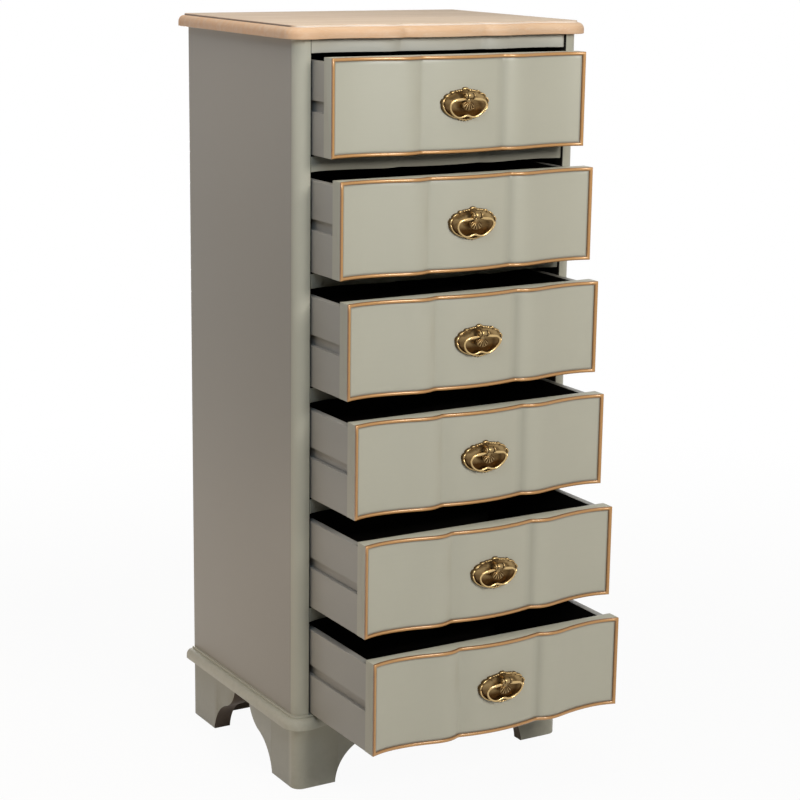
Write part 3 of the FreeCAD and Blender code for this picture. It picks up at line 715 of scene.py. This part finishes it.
handle = {
    "halfWidth": 41.0, "halfHeight": 23.0, "edge": 1.3, "ridgeAt": 2.0, "ridgeHalf": 1.7, "ridgeLow": 2.3,
    "ridgeHigh": 4.1, "bowlEdge": 1.9, "bowl": 0.8, "bowlPower": 2.2, "pivotHeight": 13.6, "pivotOut": 14.0,
    "sunk": 0.3, "clear": 0.4, "edgeRows": (0.0, 0.15, 0.45), "ridgeRows": (0.55, 13), "bowlRows": (0.97, 24),
    "plainFrom": 86, "plainFade": 10, "plainTo": 164, "plainEnd": 4,  # plain part of the rim, degrees from the top
    # ornaments along the rim, as (degrees from the top, half-width in degrees, growth of the outline, extra height)
    "ornaments": (
        (0, 8, 0.12, 2.2), (12, 2.6, 0.01, 1.5), (18, 2.6, 0.01, 1.5), (24, 2.6, 0.02, 1.5), (34, 5.5, 0.06, 2.1),
        (52, 9.5, 0.05, 2.0), (75, 10.5, 0.04, 2.0), (166, 3.4, 0.05, 0.3), (173, 3.6, 0.08, 0.5),
        (180, 3.6, 0.10, 0.6))}
# how dark the plate is: patina in its bowl, a painted reflection as a pale patch and a paler top, darker towards the
# bottom, then groove, edge and rim
platePatinaAndGlint = {
    "bowl": 0.87, "rubbedAndGlint": 0.3, "glintAt": (-13, -0.5), "glintSize": (11, 5), "top": 0.38, "topFade": 9,
    "foot": 0.2, "footFrom": 5, "footFade": 8, "groove": 0.3, "grooveAt": 0.6, "grooveHalf": 0.9, "edgeTo": 0.5,
    "edge": 0.85, "rim": 0.95, "rimLeast": 0.1}


def windows(fromTop):
    # round-topped humps along the rim, one for each ornament
    centre, half, grow, lift = np.array(handle["ornaments"], float).T
    share = (np.abs(fromTop)[:, None] - centre) / half
    return np.sqrt(np.clip(1 - share ** 2, 0, 1)), grow, lift


def handlePlate():
    # a heightfield over an oval whose radius by angle carries the ornaments' lobes; height by distance in from the
    # outline is a thin edge, a round ridge, then a bowl that deepens to the middle
    h, s = handle, platePatinaAndGlint
    angle = ringAngles(360)
    fromTop = np.degrees((np.pi / 2 - angle + np.pi) % (2 * np.pi) - np.pi)
    humps, grow, lift = windows(fromTop)
    size = 1 + (humps * grow).max(1)
    plain = np.clip((np.abs(fromTop) - h["plainFrom"]) / h["plainFade"], 0, 1)
    smooth = plain * np.clip((h["plainTo"] - np.abs(fromTop)) / h["plainEnd"], 0, 1)
    bright = np.maximum(smooth, s["rimLeast"] + (1 - s["rimLeast"]) * humps.max(1))
    crest = h["ridgeLow"] + (h["ridgeHigh"] - h["ridgeLow"]) * plain + (humps * lift).max(1)
    outlineU, outlineZ = size * h["halfWidth"] * np.cos(angle), size * h["halfHeight"] * np.sin(angle)
    radius = np.hypot(outlineU, outlineZ)
    ridgeFrom, ridgeCount = h["ridgeRows"]
    bowlFrom = h["ridgeAt"] + h["ridgeHalf"]
    bowlTo, bowlCount = h["bowlRows"]
    rows = np.concatenate([h["edgeRows"], np.linspace(ridgeFrom, bowlFrom, ridgeCount)])[:, None]
    deeper = bowlFrom + (radius - bowlFrom) * np.linspace(0, bowlTo, bowlCount)[1:, None]
    inwards = np.vstack([rows + 0 * radius, deeper])
    ridge = np.sqrt(np.clip(1 - ((inwards - h["ridgeAt"]) / h["ridgeHalf"]) ** 2, 0, 1))
    share = np.clip((radius - inwards) / (radius - bowlFrom), 0, 1)
    bowl = h["bowl"] + (h["bowlEdge"] - h["bowl"]) * share ** h["bowlPower"]
    ground = np.where(inwards < h["ridgeAt"], h["edge"], bowl)
    height = ground + (crest - ground) * ridge
    share = 1 - inwards / radius
    u, z = share * outlineU, share * outlineZ
    seat = serpentineOut(u) - serpentine["bow"] - h["sunk"]
    height = np.where(inwards < h["edgeRows"][1], seat, np.maximum(height, seat + h["clear"]))
    # painted reflection: a pale patch left of the middle and a paler upper bowl; darker towards the bottom
    (rubU, rubZ), (sizeU, sizeZ) = s["glintAt"], s["glintSize"]
    rubbedAndGlint = np.exp(-((u - rubU) / sizeU) ** 2 - ((z - rubZ) / sizeZ) ** 2)
    soil = s["bowl"] - s["rubbedAndGlint"] * rubbedAndGlint - s["top"] * np.clip(z / s["topFade"], 0, 1)
    soil = soil + s["foot"] * np.clip((-z - s["footFrom"]) / s["footFade"], 0, 1)
    soil = soil + s["groove"] * np.exp(-((inwards - bowlFrom - s["grooveAt"]) / s["grooveHalf"]) ** 2)
    soil = np.where(inwards < bowlFrom, s["rim"] - s["rim"] * ridge ** 2 * bright, soil)
    soil = np.where(inwards < s["edgeTo"], s["edge"], soil)
    return shell(np.stack([u, -height, z], -1), hollow=np.clip(soil, 0, 1))


boss = {
    "half": (10.4, 7.2), "low": -1.2, "fanTop": 6.6, "fanReach": 9.0, "flutes": 17, "fluteTo": 0.9, "fluteFade": 9,
    "rimAt": 0.95, "rimHalf": 0.03, "out": 10.6, "dome": 2.2, "relief": 0.5, "skirt": (8.6, 1.5),
    "rings": (0.89, 0.93, 0.97, 1.0, 0.97, 0.7), "soil": 0.92, "fluteRub": 0.55, "rimRub": 0.3, "skirtSoil": 0.75}


def shellBoss():
    # fluted shell: a low dome over an oval with a thin rim, its flutes fanning down from a point at its top,
    # and a skirt that tapers back into the bowl
    s = boss
    angle = ringAngles(200)
    rho = np.concatenate([np.linspace(0.04, 0.86, 16), s["rings"]])[:, None]
    u, z = s["half"][0] * rho * np.cos(angle), s["low"] + s["half"][1] * rho * np.sin(angle)
    fan = np.arctan2(u, s["fanTop"] - z)
    reach = np.clip(np.hypot(u, s["fanTop"] - z) / s["fanReach"], 0, 1)
    flute = np.cos(fan * s["flutes"]) * (reach * np.clip((s["fluteTo"] - rho) * s["fluteFade"], 0, 1))
    rim = np.exp(-((rho - s["rimAt"]) / s["rimHalf"]) ** 2)
    dome = s["out"] + s["dome"] * np.sqrt(np.clip(1 - rho ** 2, 0, 1)) + s["relief"] * flute + s["relief"] * rim
    dome[-2:] = np.array(s["skirt"])[:, None]
    hollow = np.clip(s["soil"] - s["fluteRub"] * flute - s["rimRub"] * rim, 0, 1)
    hollow[-2:] = s["skirtSoil"]
    return shell(np.stack([u, -dome, z], -1), hollow=hollow)


joint = {
    "barrel": ((-4.5, 0.2), (-4.5, 3.4), (-4.3, 3.9), (-3.8, 4.2), (3.8, 4.2), (4.3, 3.9), (4.5, 3.4), (4.5, 0.2)),
    "barrelSoil": (1.0, 1.0, 0.9, 0.5, 0.5, 0.9, 1.0, 1.0), "stemFrom": 0.5, "stemLength": 13.0, "stemRadius": 3.4,
    "stemSoil": 0.85, "throatOut": 9.6, "throatBulge": 1.2, "throatTop": 11.5, "throatDrop": 8.0, "throatHalf": 2.8,
    "throatFlare": 1.5, "throatDepth": 2.4, "throatSoil": 0.6}


def knuckle():
    # barrel on the pivot, its stem to the plate and its throat down to the shell
    j = joint
    pivotHeight = handle["pivotHeight"]
    barrel = turnedOnX(j["barrel"], -handle["pivotOut"], pivotHeight, hollow=np.array(j["barrelSoil"])[:, None])
    t = np.linspace(0, 1, 10)
    sideways, upwards, forwards = (np.tile(axis, (len(t), 1)) for axis in ((1.0, 0, 0), (0, 0, 1.0), (0, 1.0, 0)))
    line = np.stack([0 * t, -(j["stemFrom"] + j["stemLength"] * t), np.full(len(t), pivotHeight)], 1)
    thick = j["stemRadius"] + 0 * t
    stem = tube(line, sideways, upwards, thick, thick, 16, hollow=j["stemSoil"])
    line = np.stack([0 * t, -j["throatOut"] - j["throatBulge"] * np.sin(np.pi * t),
                     j["throatTop"] - j["throatDrop"] * t], 1)
    throat = tube(line, sideways, forwards, j["throatHalf"] + j["throatFlare"] * t, j["throatDepth"] + 0 * t, 14,
                  hollow=j["throatSoil"])
    return [barrel, stem, throat]


bail = {
    "points": ((6.6, -4.3), (11.0, -5.2), (19.0, -6.2), (26.3, -7.8), (31.2, -14.0), (29.0, -22.8), (21.8, -30.0),
               (14.0, -33.3), (6.0, -32.2), (0.0, -30.6)),
    "wire": 1.7, "lean": 13.0, "samples": 150, "sides": 16,
    "barSwell": 0.9, "swellAt": 17, "swellHalf": 8, "swellFrom": 14, "swellFade": 6, "swellDepth": 0.3,
    "dipSwell": 0.35, "dipHalf": 5, "dipBelow": -20,
    "soil": 0.26, "highlightAbove": 0.36, "highlightOutside": 0.18, "soilMost": 0.7,
    "scroll": ((2.0, 0.2), (2.0, 1.45), (5.3, 1.45), (5.3, 3.8), (5.9, 4.58), (7.9, 4.58), (8.5, 4.1), (8.7, 3.2),
               (8.2, 2.5), (8.3, 2.0), (8.9, 1.4), (9.1, 0.2)),
    "scrollSoil": (0.9, 0.9, 1.0, 0.95, 0.7, 0.6, 0.3, 0.6, 0.95, 0.8, 0.05, 0.05)}


def handleBail():
    # a round wire whose centre line is a spline through the loop's points, thicker along its top bars, leaning about
    # the pivot, with a turned scroll at each end
    right = np.array(bail["points"])
    line = np.vstack([right, (right * [-1, 1])[-2::-1]])
    along = np.concatenate([[0], np.cumsum(np.linalg.norm(np.diff(line, axis=0), axis=1))])
    at = np.linspace(0, along[-1], bail["samples"])
    x, z = splineThrough(along, line[:, 0], at), splineThrough(along, line[:, 1], at)
    tangent = np.stack([np.gradient(x), 0 * x, np.gradient(z)], 1)
    tangent /= np.linalg.norm(tangent, axis=1, keepdims=True)
    outward = np.tile([0, -1.0, 0], (len(x), 1))
    across = np.cross(tangent, outward)
    swell = (bail["barSwell"] * np.exp(-((np.abs(x) - bail["swellAt"]) / bail["swellHalf"]) ** 2)
             * np.clip((z + bail["swellFrom"]) / bail["swellFade"], 0, 1))
    dip = bail["dipSwell"] * np.exp(-(x / bail["dipHalf"]) ** 2) * (z < bail["dipBelow"])
    angle = ringAngles(bail["sides"])
    # patina over the wire, lighter on its upper and outer sides, a painted highlight
    soil = bail["soil"] - bail["highlightAbove"] * across[:, 2:] * np.cos(angle) - bail["highlightOutside"] * np.sin(angle)
    loop = tube(np.stack([x, 0 * x, z], 1), across, outward, bail["wire"] + swell + dip,
                bail["wire"] + bail["swellDepth"] * swell, bail["sides"], hollow=np.clip(soil, 0, bail["soilMost"]))
    lean = np.radians(bail["lean"])
    turn = np.array([[1, 0, 0], [0, np.cos(lean), -np.sin(lean)], [0, np.sin(lean), np.cos(lean)]])
    loop = (loop[0] @ turn.T, *loop[1:])
    scroll = turnedOnX(bail["scroll"], 0, 0, hollow=np.array(bail["scrollSoil"])[:, None])
    return [loop, scroll, mirrored(scroll)]


plateParts = [handlePlate(), shellBoss(), *knuckle()]
bailParts = handleBail()
for number, (low, high, opening) in enumerate(drawers, 1):
    node, body = "drawer_%d_" % number, "drawer_%d" % number
    face = closedFace - opening
    boxFront = face + drawerBox["frontThickness"]
    addPiece("drawer%dFront" % number, [drawerFront(low, high, face)], body, [node + "front"],
             [frontPaint, blackLiningAndShade, carcasePaint], crisp=50, inside=frontSides)
    addPiece("drawer%dGiltBead" % number, [giltBead(low, high, face)], body, [node + "gilt_bead"],
             [giltLeaf], crisp=60)
    addPiece("drawer%dSides" % number, drawerSides(low, boxFront + drawerBox["sideLength"], boxFront), body,
             [node + "sides"], [boxShadedPaint, blackLiningAndShade], inside=insideDrawer)
    plateY = face - serpentine["bow"]
    middle = (low + high) / 2
    addPiece("drawer%dHandlePlate" % number, [shifted(p, (0, plateY, middle)) for p in plateParts], body,
             [node + "handle_plate"], [antiqueBrass], crisp=55)
    pivot = (0, plateY - handle["pivotOut"], middle + handle["pivotHeight"])
    addPiece("drawer%dHandleBail" % number, [shifted(p, pivot) for p in bailParts], node + "bail",
             [node + "handle_bail"], [antiqueBrass], crisp=55)
print("drawers and handles made")

# CAD pieces that stay as they are
kept = {"back_panel": backPaint, "drawer_runners": runnerWood, "runner_screws": zincSteel}
for number in range(1, 7):
    kept.update({"drawer_%d_back" % number: blackLiningAndShade, "drawer_%d_bottom" % number: blackLiningAndShade,
                 "drawer_%d_handle_bolt" % number: zincSteel})
for name, material in kept.items():
    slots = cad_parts[name].material_slots
    for slot in slots:
        slot.material = material
    if not slots:
        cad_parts[name].data.materials.append(material)
print("kept CAD pieces dressed")


# Floor, light and camera

studio = {
    "floorHalf": 9.0, "floorTone": (0.75, 0.73, 0.70, 1), "white": (1, 1, 1, 1), "shadow": 0.05, "fadeFrom": 0.9,
    "fadeTo": 2.2, "ambient": (0.012, 0.012, 0.011, 1),
    "lights": {  # place, aim, size, power, colour
        "keyLight": ((0.2, -3.0, 2.0), (0.0, -0.2, 0.6), (1.0, 0.8), 62.0, (1.0, 0.97, 0.925)),
        "fillLight": ((-0.9, -1.2, 1.8), (-0.2, -0.1, 1.0), (0.6, 0.5), 5.2, (0.65, 0.82, 1.0)),
        "sideLight": ((-0.85, 0.1, 0.2), (0.0, 0.0, 0.3), (1.0, 0.2), 1.2, (1.0, 0.82, 0.66)),
        "panelTopLight": ((-0.7, 0.05, 1.12), (0.0, 0.05, 1.12), (0.5, 0.15), 0.3, (1.0, 0.9, 0.85)),
        "leftTopLight": ((-0.9, -0.2, 2.4), (-0.1, 0.0, 1.1), (1.2, 1.2), 9.0, (1.0, 0.88, 0.86)),
        "topLight": ((-0.1, -0.3, 2.7), (0.0, 0.0, 1.0), (1.8, 1.8), 12.5, (1.0, 0.97, 0.74)),
        "rearLight": ((1.0, 2.6, 0.62), (0.0, 0.0, 0.6), (1.8, 0.9), 42.0, (1.0, 0.98, 0.95))}}
view = {"place": (-1.6646, -2.8785, 1.3512), "yaw": 30.678, "down": 13.242, "roll": 0.783,  # metres and degrees
        "focal": 2069.3, "image": 800, "sensor": 36.0}  # focal length and image width in pixels, sensor in mm


def seenRays(tree):
    # 1 where the camera, a reflection or glass looks, 0 for the light that falls on things
    rays = put(tree, "LightPath").outputs
    direct = sums(tree, "MAXIMUM", rays["Is Camera Ray"], rays["Is Glossy Ray"])
    return sums(tree, "MAXIMUM", direct, rays["Is Transmission Ray"])


half = studio["floorHalf"]
corners = np.array([(-half, -half, 0), (half, -half, 0), (half, half, 0), (-half, half, 0)])
floorMesh = bpy.data.meshes.new("floor")
floorMesh.from_pydata(corners.tolist(), [], [(0, 1, 2, 3)])
floor = bpy.data.objects.new("floor", floorMesh)
bpy.context.scene.collection.objects.link(floor)

# white where it is seen, with a share of the real shading near the chest
floorPaint = bpy.data.materials.new("floorPaint")
floorPaint.use_nodes = True
tree = floorPaint.node_tree
tree.nodes.remove(tree.nodes["Principled BSDF"])
away = put(tree, "VectorMath", {0: put(tree, "TexCoord").outputs["Object"]}, operation="LENGTH").outputs["Value"]
fade = put(tree, "MapRange", {"Value": away, "From Min": studio["fadeFrom"], "From Max": studio["fadeTo"],
                              "To Min": 1.0 - studio["shadow"], "To Max": 1.0}).outputs[0]
plain = put(tree, "BsdfDiffuse", {"Color": studio["floorTone"]}).outputs[0]
white = put(tree, "Emission", {"Color": studio["white"], "Strength": 1.0}).outputs[0]
shown = put(tree, "MixShader", {0: sums(tree, "MULTIPLY", seenRays(tree), fade), 1: plain, 2: white}).outputs[0]
tree.links.new(shown, tree.nodes["Material Output"].inputs["Surface"])
floorMesh.materials.append(floorPaint)

world = bpy.data.worlds.new("studio")
bpy.context.scene.world = world
world.use_nodes = True
tree = world.node_tree
sky = blendOf(tree, seenRays(tree), studio["ambient"], studio["white"])
tree.links.new(sky, tree.nodes["Background"].inputs["Color"])
tree.nodes["Background"].inputs["Strength"].default_value = 1.0


def stood(name, data, across, back, place):
    # a light or camera at its place, its X axis across the picture and its Z axis towards the back
    pose = np.eye(4)
    pose[:3] = np.stack([across, np.cross(back, across), back, place], 1)
    thing = bpy.data.objects.new(name, data)
    thing.matrix_world = Matrix(pose.tolist())
    bpy.context.scene.collection.objects.link(thing)
    return thing


def softbox(name, place, aim, size, power, colour):
    # an area light that looks from place to aim
    lamp = bpy.data.lights.new(name, "AREA")
    lamp.shape, lamp.size, lamp.size_y, lamp.energy, lamp.color = "RECTANGLE", *size, power, colour
    back = np.array(place) - np.array(aim)
    back /= np.linalg.norm(back)
    across = np.cross([0, 0, 1], back)
    stood(name, lamp, across / np.linalg.norm(across), back, place)


for name, values in studio["lights"].items():
    softbox(name, *values)

yaw, down, roll = np.radians([view["yaw"], view["down"], view["roll"]])
ahead = np.array([np.sin(yaw) * np.cos(down), np.cos(yaw) * np.cos(down), -np.sin(down)])
level = np.array([np.cos(yaw), -np.sin(yaw), 0])
across = np.cos(roll) * level + np.sin(roll) * np.cross(level, ahead)
lens = bpy.data.cameras.new("camera")
lens.sensor_width = view["sensor"]
lens.lens = lens.sensor_width * view["focal"] / view["image"]
bpy.context.scene.camera = stood("camera", lens, across, -ahead, view["place"])
bpy.context.scene.view_settings.view_transform = "Standard"
print("stage set")
